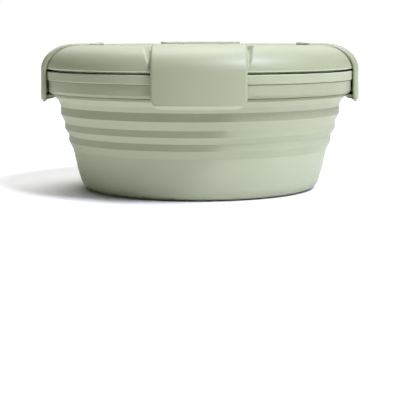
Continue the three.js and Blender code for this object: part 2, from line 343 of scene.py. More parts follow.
class Ramp(Enum):
    """Way in which a value goes from one end of a ramp to the other."""

    EVEN = "LINEAR"
    SMOOTH = "SMOOTHSTEP"

    def put(self, tree: bpy.types.NodeTree, source: Socket, span: Pair, ends: Pair) -> Socket:
        """Value that goes from one end to the other as the source crosses the span, and stays beyond it.

        Args:
            tree: Node tree that gets the ramp.
            source: Value that drives it.
            span: Values of the source at the two ends.
            ends: Values of the ramp at the two ends.

        Returns:
            Socket with the value.
        """
        node = tree.nodes.new("ShaderNodeMapRange")
        node.interpolation_type = self.value
        for socket, value in zip(("From Min", "From Max", "To Min", "To Max"), (*span, *ends)):
            node.inputs[socket].default_value = value
        tree.links.new(source, node.inputs["Value"])
        return node.outputs["Result"]


class Nodes:
    """Node tree of a material, with short calls for the nodes that the finishes share."""

    # Values between which most of a cloudy pattern lies
    CLOUD_SPAN = (0.3, 0.7)
    # Places of the two colours among the inputs of a mix node, and of the mixed colour among its outputs
    LOW_COLOUR = 6
    HIGH_COLOUR = 7
    MIXED_COLOUR = 2

    def __init__(self, name: str) -> None:
        """Start a material with a plain principled shader.

        Args:
            name: Name of the material.
        """
        self.material = bpy.data.materials.new(name)
        self.material.use_nodes = True
        self.tree = self.material.node_tree
        self.shader = self.tree.nodes["Principled BSDF"]
        self.place = self.tree.nodes.new("ShaderNodeTexCoord").outputs["Object"]

    def put(self, **values: float | tuple[float, ...]) -> None:
        """Set sockets of the shader that are the same all over; underscores stand for spaces."""
        for socket, value in values.items():
            self.shader.inputs[socket.replace("_", " ")].default_value = value

    def link(self, output: Socket, socket: str) -> None:
        """Drive a socket of the shader."""
        self.tree.links.new(output, self.shader.inputs[socket])

    def noise(self, size: float, detail: float, stretch: Triple = (1.0, 1.0, 1.0)) -> Socket:
        """Cloudy pattern on object coordinates, with lumps of about size millimetres.

        Args:
            size: Width of a lump.
            detail: Octaves of finer lumps.
            stretch: Scale along each axis, below 1 for streaks along that axis.

        Returns:
            Socket with values round one half.
        """
        mapping = self.tree.nodes.new("ShaderNodeMapping")
        mapping.inputs["Scale"].default_value = stretch
        self.tree.links.new(self.place, mapping.inputs["Vector"])
        node = self.tree.nodes.new("ShaderNodeTexNoise")
        node.inputs["Scale"].default_value = 1.0 / (size * MM)
        node.inputs["Detail"].default_value = detail
        self.tree.links.new(mapping.outputs["Vector"], node.inputs["Vector"])
        return node.outputs["Fac"]

    def spanned(self, source: Socket, low: float, high: float) -> Socket:
        """A cloudy pattern, spread evenly between low and high."""
        return Ramp.EVEN.put(self.tree, source, self.CLOUD_SPAN, (low, high))

    def toned(self, source: Socket, low: Colour, high: Colour) -> Socket:
        """Colour between two tones.

        Args:
            source: Value from 0 to 1.
            low: Colour at 0.
            high: Colour at 1.

        Returns:
            Socket with the colour.
        """
        node = self.tree.nodes.new("ShaderNodeMix")
        node.data_type = "RGBA"
        node.inputs[self.LOW_COLOUR].default_value = (*low, 1.0)
        node.inputs[self.HIGH_COLOUR].default_value = (*high, 1.0)
        self.tree.links.new(source, node.inputs["Factor"])
        return node.outputs[self.MIXED_COLOUR]

    def relief(self, height: Socket, depth: float, under: Socket | None = None) -> Socket:
        """Surface relief, over another relief if given.

        Args:
            height: Pattern of the relief.
            depth: About how deep it is, in millimetres.
            under: Relief that it lies on.

        Returns:
            Socket with the direction of the surface.
        """
        node = self.tree.nodes.new("ShaderNodeBump")
        node.inputs["Strength"].default_value = 1.0
        node.inputs["Distance"].default_value = depth * MM
        self.tree.links.new(height, node.inputs["Height"])
        if under is not None:
            self.tree.links.new(under, node.inputs["Normal"])
        return node.outputs["Normal"]


@dataclass(frozen=True)
class Finish:
    """Finish of a piece: two tones that it drifts between, and the span of its roughness."""

    name: str
    slot: Slot
    light: Colour
    dark: Colour
    roughness: Pair

    def dressed(self) -> Nodes:
        """Nodes of a new material with this finish."""
        raise NotImplementedError

    def material(self) -> bpy.types.Material:
        """Material of the finish, made once."""
        return bpy.data.materials.get(self.name) or self.dressed().material


@dataclass(frozen=True)
class MouldedFinish(Finish):
    """Moulded surface: a tone that drifts slightly, a fine eroded grain and a faint flow of the mould."""

    grain: float
    grain_depth: float
    flow: float
    flow_depth: float
    specular: float
    sheen: float
    sheen_roughness: float = 0.6
    refraction: float = 1.45
    grains_in_speck: float = 6.0
    flow_octaves: float = 3.0
    grain_octaves: float = 2.0
    speck_octaves: float = 4.0

    def dressed(self) -> Nodes:
        """Nodes of a new material with this finish.

        Returns:
            Nodes with the tone on the flow, the roughness on specks, and the grain in relief over the flow.
        """
        nodes = Nodes(self.name)
        flow = nodes.noise(self.flow, self.flow_octaves)
        grain = nodes.noise(self.grain, self.grain_octaves)
        specks = nodes.noise(self.grain * self.grains_in_speck, self.speck_octaves)
        nodes.link(nodes.toned(nodes.spanned(flow, 0.0, 1.0), self.dark, self.light), "Base Color")
        nodes.link(nodes.spanned(specks, *self.roughness), "Roughness")
        nodes.link(nodes.relief(grain, self.grain_depth, nodes.relief(flow, self.flow_depth)), "Normal")
        nodes.put(Specular_IOR_Level=self.specular, IOR=self.refraction)
        nodes.put(Sheen_Weight=self.sheen, Sheen_Roughness=self.sheen_roughness)
        return nodes


@dataclass(frozen=True)
class DrawnFinish(Finish):
    """Drawn steel wire: bright metal with fine streaks."""

    streak: float = 0.25
    stretch: Triple = (1.0, 1.0, 0.6)
    octaves: float = 2.0

    def dressed(self) -> Nodes:
        """Nodes of a new material with this finish.

        Returns:
            Nodes with the tone and the roughness on the streaks.
        """
        nodes = Nodes(self.name)
        streaks = nodes.noise(self.streak, self.octaves, self.stretch)
        nodes.link(nodes.toned(nodes.spanned(streaks, 0.0, 1.0), self.dark, self.light), "Base Color")
        nodes.link(nodes.spanned(streaks, *self.roughness), "Roughness")
        nodes.put(Metallic=1.0)
        return nodes


SILICONE = MouldedFinish(
    name="matte_silicone", slot=Slot.SILICONE, light=linear(171, 177, 148), dark=linear(167, 173, 143),
    roughness=(0.56, 0.68), grain=0.35, grain_depth=0.012, flow=22.0, flow_depth=0.05,
    specular=0.32, sheen=0.04,
)
# Painted shade: the upright outer walls of the folds in a darker tone than the slopes, standing in for the
# shade that falls on them
WALL_SHADE = replace(SILICONE, name="silicone_painted_wall_shade", light=linear(158, 164, 134), dark=linear(154, 160, 129))
# Painted shadow: the wall under the rim in the darkest tone, standing in for the shadow that the rim casts
# over it
RIM_SHADOW = replace(
    SILICONE, name="silicone_painted_rim_shadow", light=linear(147, 153, 123), dark=linear(143, 149, 118)
)
RIGID = MouldedFinish(
    name="satin_rigid_plastic", slot=Slot.RIGID, light=linear(151, 156, 125), dark=linear(147, 152, 120),
    roughness=(0.42, 0.50), grain=0.28, grain_depth=0.008, flow=30.0, flow_depth=0.04,
    specular=0.5, sheen=0.0,
)
# Painted highlight: the lid's lip and the latches' tip bevels in a lighter tone, standing in for the light
# they catch
EDGE_HIGHLIGHT = replace(RIGID, name="rigid_painted_edge_highlight", light=linear(180, 186, 154), dark=linear(176, 182, 149))
STEEL = DrawnFinish(
    name="drawn_steel", slot=Slot.STEEL, light=(0.62, 0.63, 0.64), dark=(0.46, 0.47, 0.48),
    roughness=(0.28, 0.42),
)


def facing(piece: Piece) -> tuple[Array, Array, Array]:
    """Where the faces of a piece look and how high they lie.

    Args:
        piece: Piece round the axis.

    Returns:
        For each face, the outward and the upward part of its unit normal, and its height in millimetres.
    """
    mesh = piece.data
    normal, centre = np.empty((2, len(mesh.polygons), 3))
    mesh.polygons.foreach_get("normal", normal.ravel())
    mesh.polygons.foreach_get("center", centre.ravel())
    outward = (normal[:, :2] * centre[:, :2]).sum(axis=1) / np.linalg.norm(centre[:, :2], axis=1)
    return outward, normal[:, 2], centre[:, 2] / MM


def refinished(piece: Piece, choice: Array, *finishes: Finish) -> Piece:
    """The piece with further finishes on its faces.

    Args:
        piece: Piece with its main finish.
        choice: Number of the further finish of each face, from 1 on, or 0 for the main one.
        finishes: Further finishes.

    Returns:
        The same piece.
    """
    for finish in finishes:
        piece.data.materials.append(finish.material())
    piece.data.polygons.foreach_set("material_index", choice.astype(np.int32))
    return piece


def placed(piece: Piece, finish: Finish, body: str | None, *nodes: str) -> None:
    """Fix a finished piece to its body and let it stand for its solids.

    Args:
        piece: Finished piece.
        finish: Its finish; not used.
        body: Body that it rides on, or None to fix it to no body, as for a fold between two.
        nodes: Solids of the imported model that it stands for.
    """
    if body:
        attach(piece, body)
    if nodes:
        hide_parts(*nodes)
    log.info("%s: %d faces, rides on %s", piece.name, len(piece.data.polygons), body or "two bodies")


# Silicone bowl


@dataclass
class SiliconeBowl:
    """Folding bowl: a cup, three slopes with upright walls, and the rim that carries the rigid ring."""

    cup_radius: float = 73.4
    cup_height: float = 23.0
    cup_draft: float = 14.2
    cup_belly: float = 0.35
    belly_rounding: float = 60.0
    cup_floor: float = 2.6
    heel: float = 7.6
    wall: float = 2.1
    pitch: float = 2.26
    slopes: tuple[Pair, ...] = ((23.0, 27.5), (31.3, 34.8), (38.5, 43.2))
    hinge_drop: float = 1.4
    step_rounding: float = 0.9
    cuts: tuple[float, ...] = (20.0, 28.2, 35.5, 44.2)
    cut_margin: float = 1e-3
    cove_foot: float = 47.8
    cove_rounding: float = 1.6
    cove: tuple[Triple, ...] = ((81.3, 50.7, 2.4), (83.4, 53.0, 1.6))
    shelf_radius: float = 84.7
    shelf: Pair = (53.4, 55.1)
    shelf_rounding: float = 0.5
    sleeve: Pair = (80.1, 82.2)
    sleeve_foot: float = 50.1
    sleeve_rounding: float = 1.8
    channel_rounding: float = 0.3
    flange_radius: float = 88.2
    flange: Pair = (62.65, 67.65)
    flange_rounding: Triple = (0.7, 0.55, 0.9)
    rim_fold: Pair = (46.9, 52.1)
    span: float = 0.5
    upright: float = 0.982

    @property
    def lean(self) -> float:
        """Growth of the cup's radius with height."""
        return math.tan(math.radians(self.cup_draft))

    def climb(self, start: list[Triple], radius: float, drop: float) -> Array:
        """Line up one face of the wall: out by the pitch over each slope, and straight up in between.

        Args:
            start: Corners of the line below the first slope.
            radius: Radius of the face at the foot of the first slope.
            drop: How far its folds lie below those of the outer face.

        Returns:
            (radius, height) points up to the foot of the cove, rounded at each fold.
        """
        corners = list(start)
        for index, (low, high) in enumerate(self.slopes):
            foot = radius + index * self.pitch
            corners.append((foot, low - drop, self.step_rounding))
            corners.append((foot + self.pitch, high - drop, self.step_rounding))
        corners.append((radius + len(self.slopes) * self.pitch, self.cove_foot - drop, 0.0))
        return denser(softened(corners, closed=False, steps=8), self.span)

    def outer_line(self) -> Array:
        """Outside of the wall from the axis under the foot up, with a slight belly in the cup.

        Returns:
            (radius, height) points.
        """
        foot = self.cup_radius - self.cup_height * self.lean
        belly = (foot + self.cup_radius) / 2 + self.cup_belly
        start = [(0.0, 0.0, 0.0), (foot, 0.0, self.heel), (belly, self.cup_height / 2, self.belly_rounding)]
        return self.climb(start, self.cup_radius, 0.0)

    def inner_line(self) -> Array:
        """Inside of the wall from the axis over the floor up, nearer to the outside at the slopes.

        Returns:
            (radius, height) points.
        """
        radius = self.cup_radius - self.wall
        rise = self.slopes[0][0] - self.hinge_drop - self.cup_floor
        start = [
            (0.0, self.cup_floor, 0.0),
            (radius - rise * self.lean, self.cup_floor, self.heel - self.wall),
        ]
        return self.climb(start, radius, self.hinge_drop)

    @staticmethod
    def crossing(line: Array, height: float) -> list[float]:
        """Point of a rising line at a height."""
        return [np.interp(height, line[:, 1], line[:, 0]), height]

    def stretch(self, line: Array, low: float, high: float) -> Array:
        """The part of a rising line between two heights, with its ends exactly on them."""
        inside = line[(line[:, 1] > low + self.cut_margin) & (line[:, 1] < high - self.cut_margin)]
        return np.concatenate([[self.crossing(line, low)], inside, [self.crossing(line, high)]])

    def cup(self) -> Shape:
        """Cup below the first cut: outside up, inside down, with both ends on the axis.

        Returns:
            Shape of the cup.
        """
        top, lines = self.cuts[0], (self.outer_line(), self.inner_line())
        outside, inside = (line[line[:, 1] < top - self.cut_margin] for line in lines)
        ends = [self.crossing(line, top) for line in lines]
        return Shape(*turned(np.concatenate([outside, ends, inside[::-1]]), closed=False))

    def fold(self, index: int) -> Shape:
        """Fold between two cuts: half a wall, the slope over it and half the next wall.

        Args:
            index: Number of the fold from below, from 0 on.

        Returns:
            Shape of the fold.
        """
        low, high = self.cuts[index], self.cuts[index + 1]
        outside = self.stretch(self.outer_line(), low, high)
        inside = self.stretch(self.inner_line(), low, high)
        return Shape(*turned(np.concatenate([outside, inside[::-1]])))

    def rim(self) -> Shape:
        """Rim above the last cut: cove, shelf, sleeve inside the ring, and the flange over it.

        Returns:
            Shape of the rim, as a closed outline turned about the axis.
        """
        cut, outer_wall = self.cuts[-1], self.cup_radius + len(self.slopes) * self.pitch
        inner_wall = outer_wall - self.wall
        corners = [
            (outer_wall, cut, 0.0),
            (outer_wall, self.cove_foot, self.cove_rounding),
            *self.cove,
            (self.shelf_radius, self.shelf[0], self.shelf_rounding),
            (self.shelf_radius, self.shelf[1], self.shelf_rounding),
            (self.sleeve[1], self.shelf[1], self.channel_rounding),
            (self.sleeve[1], self.flange[0], self.channel_rounding),
            (self.flange_radius, self.flange[0], self.flange_rounding[0]),
            (self.flange_radius, self.flange[1], self.flange_rounding[1]),
            (self.sleeve[0], self.flange[1], self.flange_rounding[2]),
            (self.sleeve[0], self.sleeve_foot, self.sleeve_rounding),
            (inner_wall, self.cove_foot - self.hinge_drop, self.cove_rounding),
            (inner_wall, cut, 0.0),
        ]
        outline = softened(corners)
        return Shape(*turned(denser(np.concatenate([outline, outline[:1]]), self.span)[:-1]))

    def wall_shaded(self, piece: Piece, wall_shade: Finish, rim_shadow: Finish) -> Piece:
        """The piece with painted shade: its upright outer walls in darker tones, and the wall under the rim
        darkest, for the rim's shadow.

        Args:
            piece: Fold or rim of the bowl.
            wall_shade: Finish with the painted shade of the upright walls.
            rim_shadow: Finish with the painted shadow of the wall under the rim.

        Returns:
            The same piece.
        """
        outward, _, height = facing(piece)
        upright = (outward > self.upright).astype(int)
        # Painted shadow: faces between the last slope and the shelf, under the rim
        in_rim_shadow = (height > self.slopes[-1][1]) & (height < self.shelf[0])
        return refinished(piece, upright * (1 + in_rim_shadow), wall_shade, rim_shadow)

    def build(self, finish: Finish, wall_shade: Finish, rim_shadow: Finish) -> None:
        """Make and place the cup, the three folds and the rim.

        Args:
            finish: Finish of the bowl.
            wall_shade: Finish with the painted shade of the upright walls.
            rim_shadow: Finish with the painted shadow of the wall under the rim.
        """
        placed(self.cup().piece("silicone_cup", finish), finish, "base", "bowl_base")
        names = ("lower", "middle", "upper")
        for index, name in enumerate(names):
            made = self.wall_shaded(self.fold(index).piece(f"silicone_fold_{name}", finish), wall_shade, rim_shadow)
            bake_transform(made)
            placed(made, finish, None, f"bowl_step_{name}")
        made = self.wall_shaded(self.rim().piece("silicone_rim", finish), wall_shade, rim_shadow)
        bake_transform(made)
        placed(made, finish, None, "bowl_rim")


@dataclass
class RimRing:
    """Rigid ring between the shelf and the flange of the rim, bevelled along its lower edge."""

    inner: float = 82.5
    outer: float = 87.5
    bottom: float = 55.4
    top: float = 62.5
    bevel: Pair = (0.8, 1.5)
    bevel_rounding: Pair = (0.45, 0.8)
    top_rounding: float = 0.15
    inner_rounding: float = 0.4

    def build(self, finish: Finish) -> None:
        """Make and place the ring.

        Args:
            finish: Finish of the ring.
        """
        corners = [
            (self.inner, self.bottom, self.inner_rounding),
            (self.outer - self.bevel[0], self.bottom, self.bevel_rounding[0]),
            (self.outer, self.bottom + self.bevel[1], self.bevel_rounding[1]),
            (self.outer, self.top, self.top_rounding),
            (self.inner, self.top, self.inner_rounding),
        ]
        piece = Shape(*turned(softened(corners))).piece("rigid_rim_ring", finish)
        placed(piece, finish, "rim", "rim_ring")


# Lid


def curled(radius: Array, sideways: Array) -> Array:
    """Outward reach of points moved sideways: straight at the hinge, round from the shoulder on.

    The reach is radius - c (radius - sqrt(radius^2 - sideways^2)), where c rises smoothly from 0 to 1 between
    the hinge and the shoulder.

    Args:
        radius: Radius of each point before it moves sideways.
        sideways: How far it moves.

    Returns:
        Reach of each point along the middle line of its latch.
    """
    curl = smooth(radius, CURL_START, SHOULDER)
    return radius - curl * (radius - np.sqrt(np.maximum(radius**2 - sideways**2, 0.0)))


@dataclass
class Lid:
    """Domed lid with a plug, a seal groove, four sunk trays for the latches and their hinge knuckles.

    The groove, the rib, the channel and the plug are levels of the underside, each as its height, the inner
    radius where it ends and the rounding of its corners. A row of the roof over them is its radius, the width
    of a tray's side, its height and how much lower it lies under a tray.
    """

    edge: float = 68.85
    lip: float = 0.72
    top: float = 82.1
    shoulder: Pair = (16.0, 13.25)
    shoulder_end: float = 3.0
    tray_rise: float = 10.7
    tray_floor: float = 78.4
    tray_half: float = 25.15
    tray_end: Pair = (47.0, 56.0)
    tray_ramp: Pair = (62.6, 68.2)
    side_width: float = 0.9
    side_slope: float = 1.15
    side_depth: float = 2.6
    skin: float = 2.4
    inner_rows: Triple = (40.0, 43.0, 45.5)
    hinge_rows: Pair = (57.5, 62.0)
    outer_rows: Pair = (69.6, 71.0)
    row_counts: tuple[int, ...] = (15, 4, 9, 30)
    column_counts: tuple[int, ...] = (13, 15, 19)
    fan_rows: int = 9
    edge_start: Pair = (88.18, 70.3)
    edge_radii: Pair = (88.2, 86.2)
    edge_rounding: Pair = (0.6, 0.3)
    groove: Triple = (70.8, 83.3, 0.2)
    rib: Triple = (68.0, 81.9, 0.35)
    channel: Triple = (76.5, 79.8, 0.5)
    plug: Triple = (63.9, 77.6, 0.6)
    plug_top: float = 76.0
    roof: tuple[tuple[float, ...], ...] = ((77.6, 2.0, 77.8, 0.8), (75.2, 2.8, 80.2, 2.7))
    under_span: float = 2.0
    seal_radii: Pair = (83.6, 85.3)
    seal_heights: Pair = (68.0, 70.5)
    seal_rounding: Pair = (0.6, 0.5)
    knuckle_length: float = 6.36
    knuckle_offset: float = 13.0
    knuckle_web: float = 2.4
    knuckle_sink: float = 0.4
    knuckle_ease: Pair = (0.1, 0.94)
    knuckle_points: int = 25

    def shares(self) -> tuple[Array, Array, Array]:
        """Shares across the tray floor, up its side and on to the corner between two trays."""
        floor, side, corner = (np.linspace(0.0, 1.0, count) for count in self.column_counts)
        return floor, side[1:], corner[1:]

    def ring(self, radius: Array, width: Array, round_rows: bool) -> Array:
        """Points of closed rows round the lid, as (rows, columns, 2).

        In a quarter, the first columns lie at fixed distances sideways over the tray floor and its side,
        curled as the latches are. The others follow a circle from there to the corner between two trays.

        Args:
            radius: Radius of each row on the centre line of a tray.
            width: Width of the tray's side on each row.
            round_rows: Rows are true circles, as they are below the shoulder.

        Returns:
            Plan positions of all columns, one quarter after the other.
        """
        floor, side, corner = self.shares()
        rows = np.ones((len(radius), 1))
        sideways = np.concatenate(
            [rows * self.tray_half * floor, self.tray_half + width[:, None] * side], axis=1
        )
        label = radius[:, None] * np.ones_like(sideways)
        if round_rows:
            reach = np.sqrt(np.maximum(label**2 - sideways**2, 0.0))
        else:
            reach = curled(label, sideways)
        far = np.hypot(reach[:, -1:], sideways[:, -1:])
        start = np.arctan2(sideways[:, -1:], reach[:, -1:])
        angle = start + corner * (math.pi / 4 - start)
        x = np.concatenate([reach, far * np.cos(angle)], axis=1)
        y = np.concatenate([sideways, far * np.sin(angle)], axis=1)
        x = np.concatenate([x[:, -2:0:-1], x], axis=1)
        y = np.concatenate([-y[:, -2:0:-1], y], axis=1)
        quarter, swing = np.stack([x, y], axis=-1), np.array([[0, 1], [-1, 0]])
        turns = [np.linalg.matrix_power(swing, index) for index in range(len(Side))]
        return np.concatenate([quarter @ turn for turn in turns], axis=1)

    def sunk(self) -> Array:
        """How far each column of a row is sunk into its tray.

        Returns:
            Share of the tray's depth: 1 on its floor, falling smoothly to 0 up its side.
        """
        floor, side, corner = self.shares()
        half = np.concatenate([np.ones_like(floor), 1.0 - smooth(side, 0.0, 1.0), np.zeros_like(corner)])
        return np.tile(np.concatenate([half[-2:0:-1], half]), len(Side))

    def top_rows(self) -> tuple[Array, Array, Array]:
        """Rows over the top from the inmost one to just above the lid's edge.

        The dome is flat up to the shoulder and then a quarter ellipse. The tray falls in smoothly at its
        inboard end, runs level under the hinge, rises along a ramp and follows a flatter ellipse down the
        shoulder.

        Returns:
            Radius, dome height and tray height of each row.
        """
        end_count, hinge_count, ramp_count, shoulder_count = self.row_counts
        flat = np.concatenate([
            self.inner_rows,
            np.linspace(*self.tray_end, end_count),
            np.linspace(*self.hinge_rows, hinge_count),
            np.linspace(*self.tray_ramp, ramp_count),
            self.outer_rows,
        ])
        alpha = np.radians(np.linspace(90.0, self.shoulder_end, shoulder_count))
        radius = np.concatenate([flat, SHOULDER + self.shoulder[0] * np.cos(alpha)])
        dome = np.concatenate([np.full_like(flat, self.top), self.edge + self.shoulder[1] * np.sin(alpha)])
        bench = self.edge + self.tray_rise
        level = self.top + (self.tray_floor - self.top) * smooth(flat, *self.tray_end)
        level += (bench - self.tray_floor) * smooth(flat, *self.tray_ramp)
        tray = np.concatenate([level, self.edge + self.tray_rise * np.sin(alpha)])
        return radius, dome, tray

    def under_line(self) -> Array:
        """Underside from the lid's edge inwards: lip, seal groove, rib, channel and plug.

        Returns:
            (radius, height) points.
        """
        corners = [(*self.edge_start, 0.0)]
        corners += [(r, self.edge, rounding) for r, rounding in zip(self.edge_radii, self.edge_rounding)]
        outer = self.edge_radii[1]
        for height, inner, rounding in (self.groove, self.rib, self.channel, self.plug):
            corners += [(outer, height, rounding), (inner, height, rounding)]
            outer = inner
        corners.append((outer, self.plug_top, 0.0))
        return denser(softened(corners, closed=False, steps=5)[1:], self.under_span)

    def shell(self) -> Shape:
        """Closed shell of the lid: rows over the top, round the edge, along the underside and to the axis.

        Returns:
            Shape of the lid without its knuckles.
        """
        radius, dome, tray = self.top_rows()
        sunk = self.sunk()
        width = self.side_width + self.side_slope * np.minimum(dome - tray, self.side_depth)
        over = raised(self.ring(radius, width, False), dome[:, None] + sunk * (tray - dome)[:, None])
        line = self.under_line()
        edge = raised(self.ring(line[:, 0], np.full(len(line), self.side_width), True), line[:, 1:])
        roof_radius, roof_width, height, sink = np.array(self.roof).T
        inside = raised(self.ring(roof_radius, roof_width, True), height[:, None] - sunk * sink[:, None])
        share = np.linspace(1.0, 0.0, self.fan_rows + 1)[1:, None, None]
        fan = raised(over[:1, :, :2] * share, self.top)
        down = np.array([0.0, 0.0, self.skin])
        below = over[radius <= SHOULDER + SHORTEST][::-1] - down
        rows = np.concatenate([fan[::-1], over, edge, inside, below, fan - down])
        return Shape(*gridded(rows, wrap_columns=True))

    def lug(self, along: float) -> Shell:
        """Hinge knuckle on the +X side: a round-topped outline carried along the hinge, with eased ends.

        Args:
            along: Place of its middle along the hinge.

        Returns:
            Points and faces.
        """
        half, foot = self.knuckle_web / 2, self.tray_floor - HINGE[1] - self.knuckle_sink
        reach, rise = KNUCKLE
        spring = math.degrees(math.asin(half / reach))
        head = arc((0.0, 0.0), reach, reach, -90.0 + spring, 270.0 - spring, self.knuckle_points)
        head[:, 1] *= np.where(head[:, 1] > 0.0, rise / reach, 1.0)
        outline = np.concatenate([[[-half, foot], [half, foot]], head])
        (ease, shrunk), end = self.knuckle_ease, self.knuckle_length / 2
        scale = np.array([0.0, shrunk, 1.0, 1.0, shrunk, 0.0])[:, None]
        y = along + np.array([-end, -end, ease - end, end - ease, end, end])[:, None] * np.ones(len(outline))
        x = HINGE[0] + scale * outline[:, 0]
        z = HINGE[1] + scale * outline[:, 1]
        return gridded(np.stack([x, y, z], axis=-1), wrap_columns=True)

    def seal(self) -> Shape:
        """Soft ring in the groove: a rounded rectangle turned about the axis.

        Returns:
            Shape of the seal.
        """
        (inner, outer), (bottom, top), (low, high) = self.seal_radii, self.seal_heights, self.seal_rounding
        corners = [(inner, bottom, low), (outer, bottom, low), (outer, top, high), (inner, top, high)]
        return Shape(*turned(softened(corners)))

    def highlighted(self, piece: Piece, edge: Finish) -> Piece:
        """The piece with the lip along its outer edge in a lighter tone: a painted highlight where the
        rounded lip catches the light.
        """
        outward, _, height = facing(piece)
        return refinished(piece, (outward > OUTSIDE) & (np.abs(height - self.edge) < self.lip), edge)

    def build(self, finish: Finish, edge: Finish, seal_finish: Finish) -> None:
        """Make and place the lid, its knuckles and its seal.

        Args:
            finish: Finish of the lid.
            edge: Finish with the painted highlight of its lip.
            seal_finish: Finish of the seal.
        """
        placed(self.highlighted(self.shell().piece("domed_lid", finish), edge), finish, "lid", "lid")
        places = (-self.knuckle_offset, self.knuckle_offset)
        lugs = [side.spun(self.lug(along)) for side in Side for along in places]
        placed(Shape.joined(lugs).piece("lid_knuckles", finish), finish, "lid")
        placed(self.seal().piece("lid_seal_ring", seal_finish), seal_finish, "lid", "lid_seal")


# Latches


@dataclass
class Latch:
    """Curved latch plate that hinges on the lid, follows its shoulder and hooks under the rigid ring.

    The columns are distances from the middle line, close together at the slots and at the ends of the tooth.
    The counts are points of the nose, the plate, the bend, the skirt and the end of each face.
    """

    half: float = 24.75
    thickness: Pair = (2.5, 2.2)
    edge_rounding: float = 1.15
    edge_share: float = 0.47
    nose_end: float = 62.0
    plate_start: float = 61.15
    plate: Pair = (80.5, 82.7)
    shoulder: Pair = (SHOULDER, 67.9)
    inner: Pair = (16.35, 12.6)
    flare: float = 0.3
    skirt_top: float = 67.4
    skirt_foot: Pair = (55.8, 54.9)
    end_top: Pair = (55.4, 54.6)
    tip: float = 50.35
    tip_bevel: Pair = (1.0, 1.8)
    bevel_rounding: Pair = (0.3, 0.4)
    tip_rounding: float = 0.25
    tip_seam: Pair = (0.4, 0.03)
    corner: float = 6.2
    nose_corner: float = 4.4
    nose_least: float = 0.4
    slots: Pair = (9.7, 16.3)
    tooth_half: Pair = (19.7, 20.0)
    tooth_tip: Triple = (85.4, 52.6, 54.2)
    tooth_foot: float = 51.6
    tooth_rounding: float = 0.3
    columns: tuple[float, ...] = (
        0.0, 3.0, 6.0, 9.6, 9.75, 11.5, 14.5, 16.25, 16.4, 18.0, 19.7, 20.0, 21.2, 22.2, 23.0,
    )
    counts: tuple[int, ...] = (14, 9, 30, 8, 40)
    edge_spans: int = 4
    pin_radius: float = 0.8
    pin_half: float = 22.3
    pin_chamfer: float = 0.2
    pin_span: float = 4.0
    pin_steps: int = 24

    def face(self, nose: Pair, level: float, bend: Pair, foot: float) -> Array:
        """One face from the nose of the barrel over the plate and the bend to the foot of the skirt.

        Args:
            nose: Rise of the barrel, and the angle in degrees where it meets the plate.
            level: Height of the plate.
            bend: Reach and rise of the quarter ellipse over the shoulder.
            foot: Height of the skirt's foot.

        Returns:
            (radius, height) points.
        """
        nose_count, plate_count, bend_count, skirt_count, _ = self.counts
        barrel = arc(HINGE, KNUCKLE[0], nose[0], 180.0, nose[1], nose_count)
        run = np.linspace(self.plate_start, self.shoulder[0], plate_count)[:-1]
        plate = np.stack([run, np.full_like(run, level)], axis=1)
        curve = arc(self.shoulder, *bend, 90.0, 0.0, bend_count)
        radius = self.shoulder[0] + bend[0]
        skirt = spread(np.array([[radius, self.skirt_top], [radius + self.flare, foot]]), skirt_count)
        return np.concatenate([barrel, plate, curve, skirt])

    def lines(self) -> tuple[Array, ...]:
        """Outer face, plain inner face and hooked inner face.

        They leave the nose of the barrel together, run along the plate, down two nested quarter ellipses and
        a slightly flared skirt, and meet again at the bevelled tip.

        Returns:
            Matching (radius, height) points of the three faces.
        """
        bend = (self.inner[0] + self.thickness[0], self.inner[1] + self.thickness[1])
        outer = self.face((KNUCKLE[1], self.nose_end), self.plate[1], bend, self.skirt_foot[0])
        inner = self.face((KNUCKLE[0], 360.0 - self.nose_end), self.plate[0], self.inner, self.skirt_foot[1])
        out_r, in_r = outer[-1, 0], inner[-1, 0]
        bevel = [
            (out_r, self.tip + self.tip_bevel[1], self.bevel_rounding[0]),
            (out_r - self.tip_bevel[0], self.tip, self.bevel_rounding[1]),
        ]
        start, tip = (in_r, self.end_top[1], 0.0), (in_r, self.tip, self.tip_rounding)
        r, low, high = self.tooth_tip
        tooth = [(*place, self.tooth_rounding) for place in ((r, high), (r, low), (in_r, self.tooth_foot))]
        seam = (in_r + self.tip_seam[0], self.tip + self.tip_seam[1], 0.0)
        ends = (
            [(out_r, self.end_top[0], 0.0), *bevel, seam],
            [start, tip, seam],
            [start, *tooth, tip, seam],
        )
        ends = [spread(softened(corners, closed=False), self.counts[-1]) for corners in ends]
        return tuple(np.concatenate(parts) for parts in zip((outer, inner, inner), ends))

    def across(self) -> tuple[Array, Array, Array, Array]:
        """Cross section as a loop of columns.

        The loop runs along the outer face, round one edge, back along the inner face and round the other.

        Returns:
            For each column, its share across, its share of the edge's rounding sideways and inwards, and
            whether it belongs to the outer face.
        """
        body = self.half - self.edge_rounding
        stops = np.array([*self.columns, body])
        line = np.concatenate([-stops[:0:-1], stops]) / body
        turn = np.radians(np.linspace(0.0, 90.0, self.edge_spans + 1)[1:])
        edge = np.concatenate([turn, turn[::-1]])
        one, none, outer = np.ones_like(edge), 0.0 * line, np.repeat([1.0, 0.0], self.edge_spans)
        share = np.concatenate([line, one, line[::-1], -one])
        ease = np.concatenate([none, np.sin(edge), none, -np.sin(edge)])
        drop = np.concatenate([none, 1.0 - np.cos(edge), none, 1.0 - np.cos(edge)])
        on_outer = np.concatenate([none + 1.0, outer, none, outer[::-1]]) > 0.0
        return share, ease, drop, on_outer

